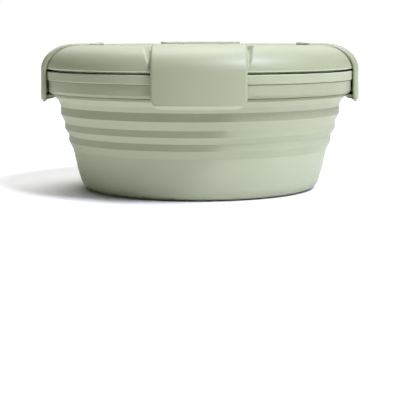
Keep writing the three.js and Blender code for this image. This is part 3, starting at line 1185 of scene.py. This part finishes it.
    def shell(self) -> Shell:
        """Closed shell of the latch on the +X side.

        Every point lies on the outer or the inner face, moved towards the other by the rounding of the edge.
        The half width shrinks along a circle near the tip. The barrel is pressed back to the plate where the
        lid's knuckles stand, and along a circle at its outer corners. Last, the plate is curled as the lid
        is.

        Returns:
            Points and faces.
        """
        outer, plain, hooked = self.lines()
        share, ease, drop, on_outer = self.across()
        middle = (outer + plain) / 2
        left = lengths(middle[::-1])[::-1]
        into = np.clip(1.0 - left / self.corner, 0.0, 1.0)
        half = self.half - self.corner * (1.0 - np.sqrt(1.0 - into**2))
        gap = np.linalg.norm(outer - plain, axis=1)
        rounding = np.minimum(self.edge_rounding, self.edge_share * gap)
        y = share * (half - self.edge_rounding)[:, None] + ease * rounding[:, None]
        away = np.abs(y)
        hook = (1.0 - smooth(away, *self.tooth_half))[:, :, None]
        inner = plain[:, None] + hook * (hooked - plain)[:, None]
        span = inner - outer[:, None]
        unit = span / np.maximum(np.linalg.norm(span, axis=-1, keepdims=True), SHORTEST)
        moved = (drop * rounding[:, None])[:, :, None] * unit
        point = np.where(on_outer[None, :, None], outer[:, None] + moved, inner - moved)
        r, z = point[..., 0], point[..., 1]
        nose = HINGE[0] - KNUCKLE[0]
        over = np.clip(away - (self.half - self.nose_corner), 0.0, self.nose_corner)
        start = nose + self.nose_corner - np.sqrt(self.nose_corner**2 - over**2)
        slot = (away > self.slots[0]) & (away < self.slots[1])
        start = np.where(slot, self.plate_start, np.minimum(start, self.plate_start - self.nose_least))
        packed = start + (r - nose) * (self.plate_start - start) / (self.plate_start - nose)
        at_nose = r < self.plate_start
        z = np.where(at_nose & slot, np.clip(z, *self.plate), z)
        r = np.where(at_nose, packed, r)
        return gridded(np.stack([curled(r, y), y, z], axis=-1), wrap_columns=True)

    def pin(self) -> Shell:
        """Hinge pin on the +X side: a chamfered outline turned about the hinge axis.

        Returns:
            Points and faces.
        """
        ease, r, end = self.pin_chamfer, self.pin_radius, self.pin_half
        tail = np.array([[r, end - ease], [r - ease, end], [0.0, end]])
        line = denser(np.concatenate([tail[::-1] * (1.0, -1.0), tail]), self.pin_span)
        angle = full_turn(self.pin_steps)
        x = HINGE[0] + line[:, 0] * np.cos(angle)
        z = HINGE[1] + line[:, 0] * np.sin(angle)
        return gridded(np.stack([x, np.broadcast_to(line[:, 1], x.shape), z], axis=-1), wrap_rows=True)

    def highlighted(self, piece: Piece, edge: Finish) -> Piece:
        """The piece with the bevel along its tip in a lighter tone: a painted highlight where the bevel
        catches light from below.

        Args:
            piece: Latch plate.
            edge: Finish with the painted highlight of the bevel.

        Returns:
            The same piece.
        """
        outward, up, height = facing(piece)
        low = height < self.tip + self.tip_bevel[1]
        return refinished(piece, (outward > OUTSIDE) & (up < UNDERSIDE) & low, edge)

    def build(self, finish: Finish, edge: Finish, pin_finish: Finish) -> None:
        """Make and place a latch and its pin on each side of the lid.

        Args:
            finish: Finish of the latches.
            edge: Finish with the painted highlight of their tips.
            pin_finish: Finish of the pins.
        """
        for side in Side:
            made = Shape(*side.spun(self.shell())).piece(f"latch_plate_{side.word}", finish)
            placed(self.highlighted(made, edge), finish, f"latch_{side.word}", f"latch_{side.word}")
            made = Shape(*side.spun(self.pin())).piece(f"steel_pin_{side.word}", pin_finish)
            placed(made, pin_finish, "lid", f"hinge_pin_{side.word}")


# Studio

WHITE = (1.0, 1.0, 1.0, 1.0)
COOL_LIGHT = (0.97, 1.0, 1.26)
PLAIN_LIGHT = (0.99, 1.0, 1.04)


@dataclass(frozen=True)
class SoftBox:
    """Square area light that points at the bowl."""

    name: str
    place: Triple
    size: float
    power: float
    colour: Colour
    aim: Triple = (0.0, 0.0, 0.05)

    def build(self) -> None:
        """Hang the light."""
        lamp = bpy.data.lights.new(self.name, "AREA")
        lamp.shape = "SQUARE"
        lamp.size = self.size
        lamp.energy = self.power
        lamp.color = self.colour
        made = bpy.data.objects.new(self.name, lamp)
        made.location = self.place
        made.rotation_euler = (Vector(self.aim) - Vector(self.place)).to_track_quat("-Z", "Y").to_euler()
        bpy.context.scene.collection.objects.link(made)


@dataclass(frozen=True)
class Studio:
    """Pale floor, dim surround over a bright horizon, soft boxes and the camera.

    Each part of the floor's glow grows from nothing to a level between two distances from the axis.
    """

    floor_radius: float = 60.0
    floor_corners: int = 96
    floor_tone: tuple[Colour, Colour] = ((0.80, 0.79, 0.76), (0.82, 0.81, 0.78))
    floor_grain: float = 40.0
    grain_octaves: float = 3.0
    floor_roughness: float = 0.75
    floor_specular: float = 0.2
    floor_glow: tuple[Triple, Triple] = ((0.062, 0.080, 0.11), (0.30, 1.6, 0.9))
    horizon: float = 1.0
    surround: float = 0.02
    horizon_span: Pair = (0.03, 0.08)
    boxes: tuple[SoftBox, ...] = (
        SoftBox("key_box", (0.8, -0.7, 1.6), 0.5, 39.5, COOL_LIGHT),
        SoftBox("side_box", (1.2, -0.8, 1.15), 0.5, 9.5, COOL_LIGHT),
        SoftBox("top_box", (-0.1, 0.5, 1.6), 1.0, 17.0, PLAIN_LIGHT),
        SoftBox("back_box", (0.0, 1.2, 1.3), 2.0, 18.0, PLAIN_LIGHT),
    )
    eye: Triple = (0.0037, -0.700, 0.0904)
    pitch: float = 8.028
    roll: float = 0.1
    yaw: float = 0.289
    lens: float = 108.54
    sensor: float = 36.0
    clip: Pair = (0.01, 100.0)

    def floor(self) -> None:
        """Round floor with a faint grain, which glows a little round the bowl and more far out."""
        angle = full_turn(self.floor_corners)
        ring = np.concatenate([np.cos(angle), np.sin(angle), 0.0 * angle], axis=1) * self.floor_radius
        mesh = bpy.data.meshes.new("studio_floor")
        mesh.from_pydata(ring.tolist(), [], [list(range(len(ring)))])
        nodes = Nodes("pale_floor")
        grain = nodes.noise(self.floor_grain, self.grain_octaves)
        nodes.link(nodes.toned(grain, *self.floor_tone), "Base Color")
        away = nodes.tree.nodes.new("ShaderNodeVectorMath")
        away.operation = "LENGTH"
        nodes.tree.links.new(nodes.place, away.inputs["Vector"])
        both = nodes.tree.nodes.new("ShaderNodeMath")
        both.operation = "ADD"
        for index, (start, end, level) in enumerate(self.floor_glow):
            glow = Ramp.SMOOTH.put(nodes.tree, away.outputs["Value"], (start, end), (0.0, level))
            nodes.tree.links.new(glow, both.inputs[index])
        nodes.link(both.outputs["Value"], "Emission Strength")
        nodes.put(Roughness=self.floor_roughness, Specular_IOR_Level=self.floor_specular)
        nodes.put(Emission_Color=WHITE)
        mesh.materials.append(nodes.material)
        made = bpy.data.objects.new("studio_floor", mesh)
        bpy.context.scene.collection.objects.link(made)

    def sky(self) -> None:
        """Surround that falls from a bright horizon to an even, dimmer level above it."""
        world = bpy.data.worlds.new("studio_surround")
        world.use_nodes = True
        tree = world.node_tree
        split = tree.nodes.new("ShaderNodeSeparateXYZ")
        tree.links.new(tree.nodes.new("ShaderNodeTexCoord").outputs["Generated"], split.inputs["Vector"])
        ends = (self.horizon, self.surround)
        level = Ramp.SMOOTH.put(tree, split.outputs["Z"], self.horizon_span, ends)
        tree.links.new(level, tree.nodes["Background"].inputs["Strength"])
        tree.nodes["Background"].inputs["Color"].default_value = WHITE
        bpy.context.scene.world = world

    def camera(self) -> None:
        """Camera in front of the bowl, a little above its lid, tilted down and turned towards its axis."""
        lens = bpy.data.cameras.new("front_view")
        lens.lens = self.lens
        lens.sensor_width = self.sensor
        lens.clip_start, lens.clip_end = self.clip
        made = bpy.data.objects.new("front_view", lens)
        made.location = self.eye
        turns = (90.0 - self.pitch, self.roll, self.yaw)
        made.rotation_euler = tuple(math.radians(turn) for turn in turns)
        bpy.context.scene.collection.objects.link(made)
        bpy.context.scene.camera = made

    def build(self) -> None:
        """Lay the floor, light the surround, hang the lights and stand the camera."""
        self.floor()
        self.sky()
        for box in self.boxes:
            box.build()
        self.camera()
        bpy.context.scene.view_settings.view_transform = "Standard"


def main() -> None:
    """Load the frame, build each assembly on it, set the studio and log each piece's face count."""
    logging.basicConfig(level=logging.INFO, format="%(message)s")
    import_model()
    # The bowl's second and third finishes are painted shade and painted shadow, and the lighter finish of the
    # lid and the latches is a painted highlight
    SiliconeBowl().build(SILICONE, WALL_SHADE, RIM_SHADOW)
    RimRing().build(RIGID)
    Lid().build(RIGID, EDGE_HIGHLIGHT, SILICONE)
    Latch().build(RIGID, EDGE_HIGHLIGHT, STEEL)
    Studio().build()


if __name__ == "__main__":
    main()
